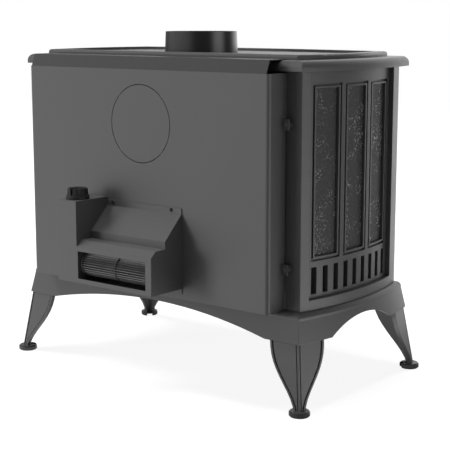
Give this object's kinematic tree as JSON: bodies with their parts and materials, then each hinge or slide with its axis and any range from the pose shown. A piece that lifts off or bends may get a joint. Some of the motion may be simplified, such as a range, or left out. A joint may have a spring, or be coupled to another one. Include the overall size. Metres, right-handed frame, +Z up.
{
  "type": "heating stove",
  "caption": "Bow-sided cast-iron wood heating stove on splayed legs, with a top flue collar, a rear heat shield, a speed-controlled rear blower and a glazed loading door.",
  "frame": {"origin": "on the floor at the middle of the overall box", "axes": "+Z up, -Y towards the loading door, +Y towards the heat shield and blower"},
  "size_m": [0.8451, 0.6006, 0.762],
  "materials": {
    "stove_iron": "matt black stove paint",
    "shield_steel": "satin charcoal paint",
    "blower_steel": "satin black paint",
    "side_stone": "speckled dark stone",
    "black_plastic": "moulded",
    "bright_steel": "zinc plated",
    "fan_aluminium": "mill",
    "bush_brass": "sintered bronze",
    "gland_rubber": "moulded",
    "firebox_steel": "mill black",
    "firebrick": "pressed refractory",
    "baffle_fibre": "ceramic fibre board",
    "rope": "braided fibreglass",
    "door_glass": "clear ceramic glass",
    "handle_iron": "satin black",
    "handle_wood": "oiled hardwood"
  },
  "bodies": {
    "stove": {"leg_rear_left": "stove_iron", "leg_rear_right": "stove_iron", "leg_front_left": "stove_iron", "leg_front_right": "stove_iron", "leg_bolts": "bright_steel", "base_casting": "stove_iron", "side_frame_left": "stove_iron", "side_frame_right": "stove_iron", "side_panel_left": "stove_iron", "side_panel_right": "stove_iron", "side_stones_left": "side_stone", "side_stones_right": "side_stone", "top_casting": "stove_iron", "flue_collar": "stove_iron", "rear_flue_cover": "stove_iron", "heat_shield": "shield_steel", "rear_casting": "stove_iron", "shield_screws": "bright_steel", "top_deflector": "shield_steel", "blower_housing": "blower_steel", "blower_screws": "bright_steel", "control_box": "blower_steel", "cord_gland": "gland_rubber", "fan_motor": "bright_steel", "fan_bush": "bush_brass", "speed_control": "black_plastic", "hearth_plate": "firebox_steel", "firebox_shell": "firebox_steel", "grate": "stove_iron", "firebrick_floor": "firebrick", "firebrick_left": "firebrick", "firebrick_right": "firebrick", "firebrick_rear": "firebrick", "secondary_air_tubes": "firebox_steel", "baffle_board": "baffle_fibre", "front_casting": "stove_iron", "door_hinge_pins": "bright_steel", "drawer_rails": "firebox_steel"},
    "loading_door": {"door_frame": "stove_iron", "door_glass": "door_glass", "glass_clips": "firebox_steel", "door_rope_seal": "rope"},
    "door_handle": {"handle_lever": "handle_iron", "handle_grip": "handle_wood"},
    "ash_drawer": {"ash_drawer_front": "stove_iron", "ash_pan": "firebox_steel", "drawer_pull": "handle_iron"},
    "air_control": {"air_slide": "firebox_steel", "air_knob": "handle_iron"},
    "fan_rotor": {"fan_impeller": "fan_aluminium", "fan_shaft": "bright_steel"},
    "speed_selector": {"speed_knob": "black_plastic", "knob_spindle": "bright_steel"}
  },
  "joints": [
    {"name": "door_swing", "type": "hinge", "parent": "stove", "child": "loading_door", "pos_m": [-0.272, -0.2546, 0.475], "axis": [0, 0, -1], "range_deg": [0, 110]},
    {"name": "handle_turn", "type": "hinge", "parent": "loading_door", "child": "door_handle", "pos_m": [0.226, -0.25337, 0.475], "axis": [0, 1, 0], "range_deg": [0, 90]},
    {"name": "drawer_slide", "type": "slide", "parent": "stove", "child": "ash_drawer", "axis": [0, -1, 0], "range_m": [0, 0.26]},
    {"name": "air_slide", "type": "slide", "parent": "stove", "child": "air_control", "axis": [1, 0, 0], "range_m": [-0.04, 0.04]},
    {"name": "fan_spin", "type": "hinge", "parent": "stove", "child": "fan_rotor", "pos_m": [0.0054, 0.26628, 0.266], "axis": [1, 0, 0], "continuous": true},
    {"name": "speed_turn", "type": "hinge", "parent": "stove", "child": "speed_selector", "pos_m": [0.12825, 0.26528, 0.39963], "axis": [0, 0, -1], "range_deg": [0, 270]}
  ]
}
